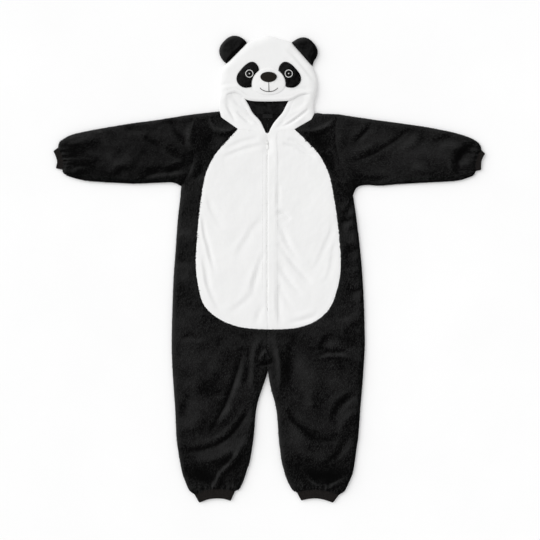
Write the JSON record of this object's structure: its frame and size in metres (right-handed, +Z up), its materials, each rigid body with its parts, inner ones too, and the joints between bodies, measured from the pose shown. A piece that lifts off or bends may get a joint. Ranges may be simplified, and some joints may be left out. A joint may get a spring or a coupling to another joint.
{
  "type": "panda onesie laid flat",
  "caption": "Child's hooded plush onesie with a panda face and ears, white belly and front zip, laid flat with arms out.",
  "frame": {"origin": "on the surface that the garment lies on, under the middle of its outline", "axes": "+Y from the ankles towards the hood, +Z up out of the front, +X towards the right arm as seen from above"},
  "size_m": [1.207, 1.3064, 0.0175],
  "materials": {
    "black_fleece": "short-pile plush fleece, soft sheen",
    "white_fleece": "short-pile plush fleece, matte",
    "black_rib": "rib knit, matte",
    "black_lining": "flat fleece back, matte",
    "nose_felt": "dark brown applique, matte",
    "zip_tape": "woven tape",
    "zip_plastic": "white coated slider and pull",
    "plain_label": "plain woven label, nothing printed"
  },
  "bodies": {
    "garment": {"back_left": "black_fleece", "back_right": "black_fleece", "front_left": "black_fleece", "front_right": "black_fleece", "belly_left": "white_fleece", "belly_right": "white_fleece", "zip_tape_left": "zip_tape", "zip_tape_right": "zip_tape", "zip_slider": "zip_plastic", "sleeve_left": "black_fleece", "sleeve_right": "black_fleece", "wrist_cuff_left": "black_rib", "wrist_cuff_right": "black_rib", "ankle_cuff_left": "black_rib", "ankle_cuff_right": "black_rib", "hood_face": "white_fleece", "hood_flap_left": "white_fleece", "hood_flap_right": "white_fleece", "hood_back": "white_fleece", "hood_lining": "black_lining", "ear_left": "black_fleece", "ear_right": "black_fleece", "muzzle": "white_fleece", "eye_patch_left": "black_fleece", "eye_patch_right": "black_fleece", "nose": "nose_felt", "neck_label": "plain_label"},
    "pull_tab": {"zip_pull": "zip_plastic"}
  },
  "joints": [
    {"name": "pull_tab_hinge", "type": "hinge", "parent": "garment", "child": "pull_tab", "pos_m": [-0.006, 0.352, 0.0112], "axis": [-1, 0, 0], "range_deg": [0, 150]}
  ]
}
